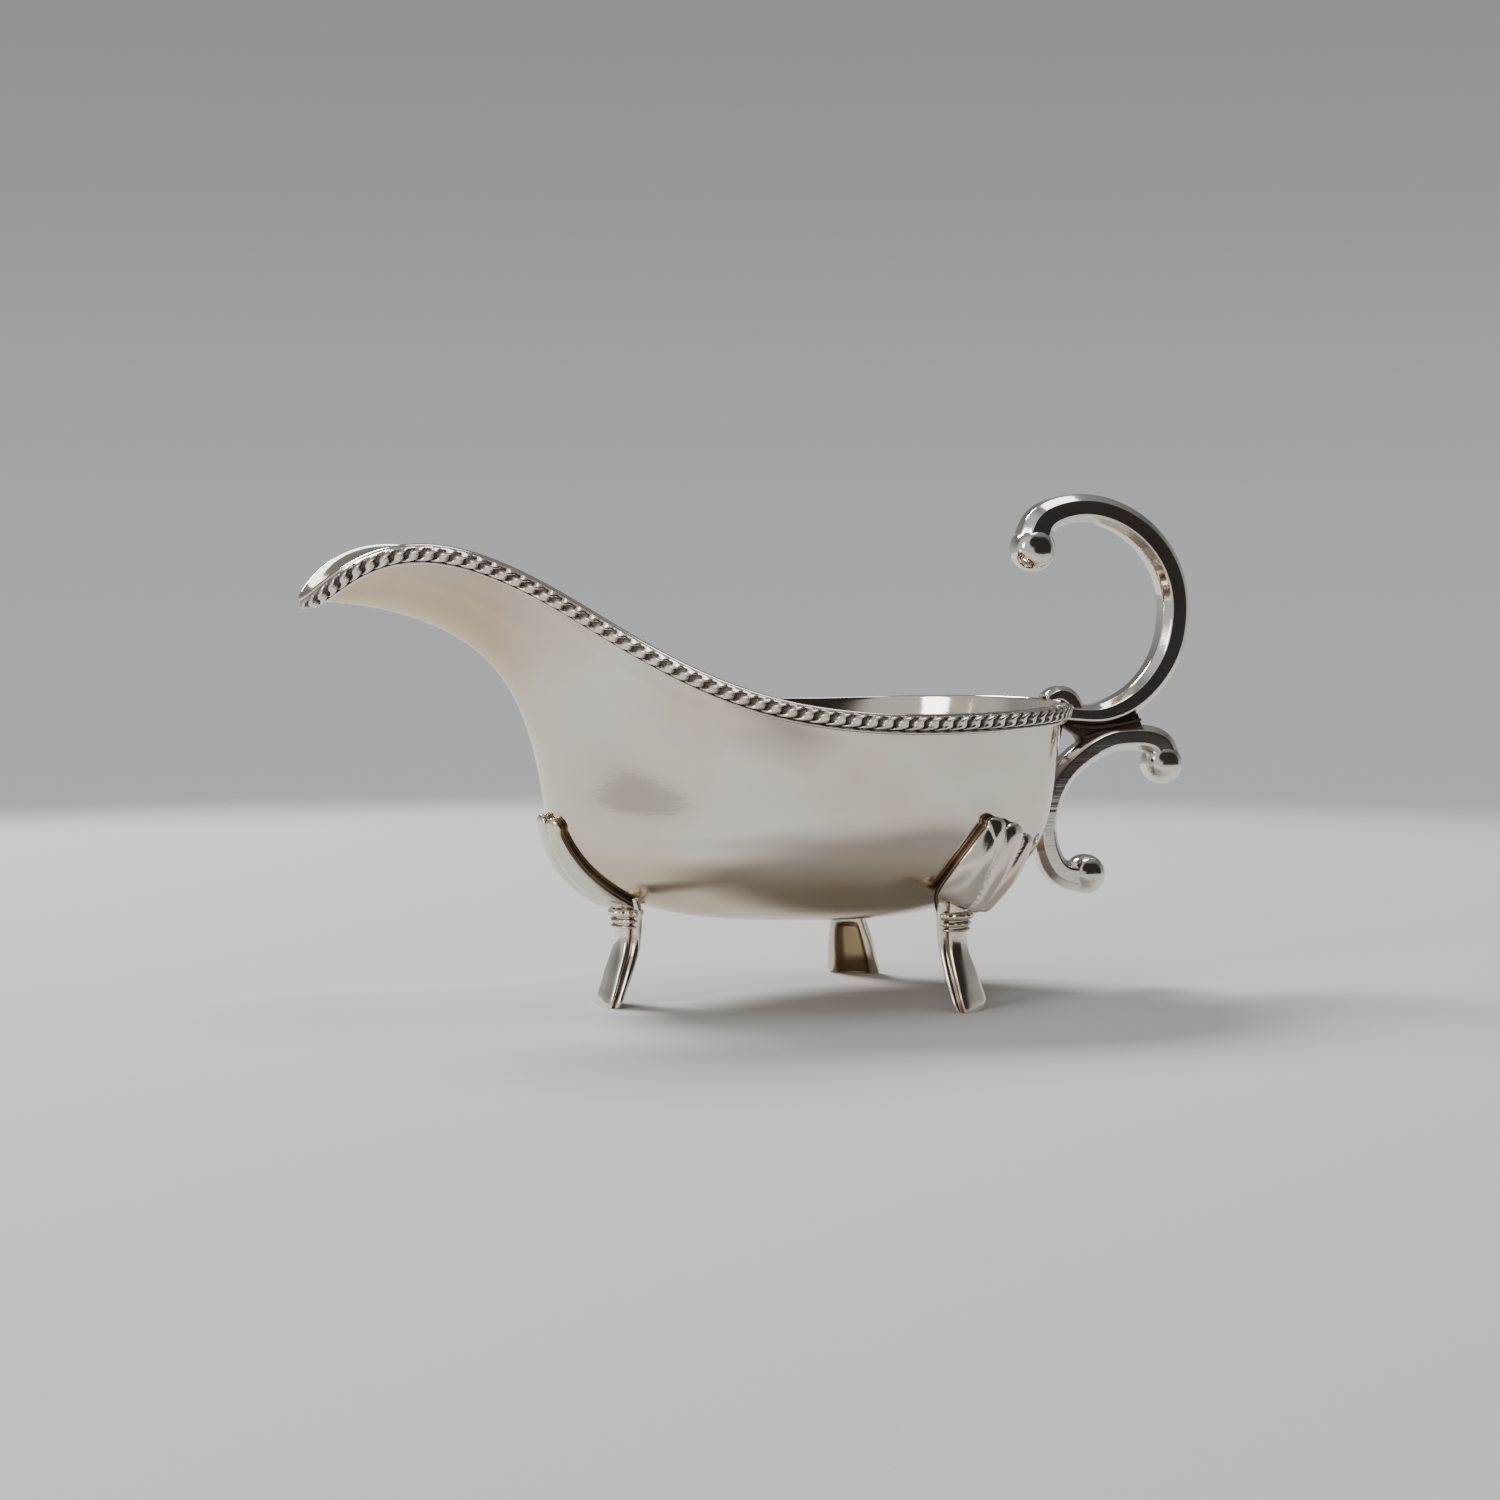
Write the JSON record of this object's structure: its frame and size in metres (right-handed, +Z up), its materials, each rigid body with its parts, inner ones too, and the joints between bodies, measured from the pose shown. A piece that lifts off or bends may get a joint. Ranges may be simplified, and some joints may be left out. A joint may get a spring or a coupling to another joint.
{
  "type": "sauce boat",
  "caption": "Footed silver-plated sauce boat with a long pouring lip, gadroon border, double scroll handle and shell-kneed legs.",
  "frame": {"origin": "on the ground under the feet, at the centre of the bounding box", "axes": "+Z up, +X towards the handle, -X towards the pouring lip, symmetric about the XZ plane"},
  "size_m": [0.203, 0.0892, 0.1092],
  "materials": {
    "silver_sheet": "polished silver plate with a faint cloudy tarnish",
    "silver_border": "silver plate, bright on the lobes and oxidised in the grooves",
    "silver_cast": "polished cast silver plate with fine handling scratches",
    "silver_legs": "polished cast silver plate with warm tarnish in the recesses"
  },
  "bodies": {
    "root": {"bowl": "silver_sheet", "gadroon_border_left": "silver_border", "gadroon_border_right": "silver_border", "handle_upper_scroll": "silver_cast", "handle_lower_scroll": "silver_cast", "front_leg": "silver_legs", "rear_leg_left": "silver_legs", "rear_leg_right": "silver_legs"}
  },
  "joints": []
}
